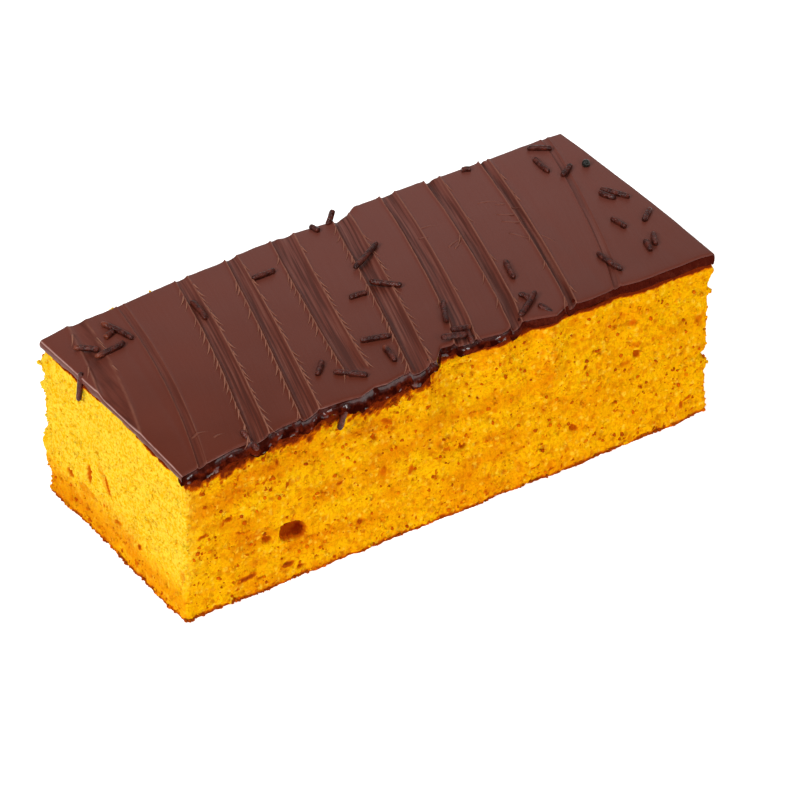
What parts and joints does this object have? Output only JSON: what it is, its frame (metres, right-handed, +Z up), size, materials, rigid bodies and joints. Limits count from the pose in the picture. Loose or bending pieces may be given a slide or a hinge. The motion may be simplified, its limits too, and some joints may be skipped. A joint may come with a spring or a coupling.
{
  "type": "carrot cake slab",
  "caption": "Rectangular cut slab of yellow carrot sponge cake under spatula-grooved chocolate icing strewn with chocolate sprinkles, resting on its flat base.",
  "frame": {"origin": "on the surface that the slab stands on, under the middle of its bounding box", "axes": "+X along the slab's length, away from its thinner sunken end; +Z up; -Y out of the long cut face on which the icing hangs lowest"},
  "size_m": [0.1526, 0.0671, 0.0512],
  "materials": {
    "sponge": "soft open crumb of orange-yellow carrot sponge, matt and slightly moist, browned along its bottom edge and darker with oil just under the icing",
    "chocolate": "set chocolate icing, satin on top with fine spatula streaks, wet and glossy where it hangs over the cut edge",
    "sprinkles": "dark chocolate sprinkles with a low polish and a grainy surface"
  },
  "bodies": {
    "root": {"carrot_sponge": "sponge", "chocolate_icing": "chocolate"}
  },
  "joints": []
}
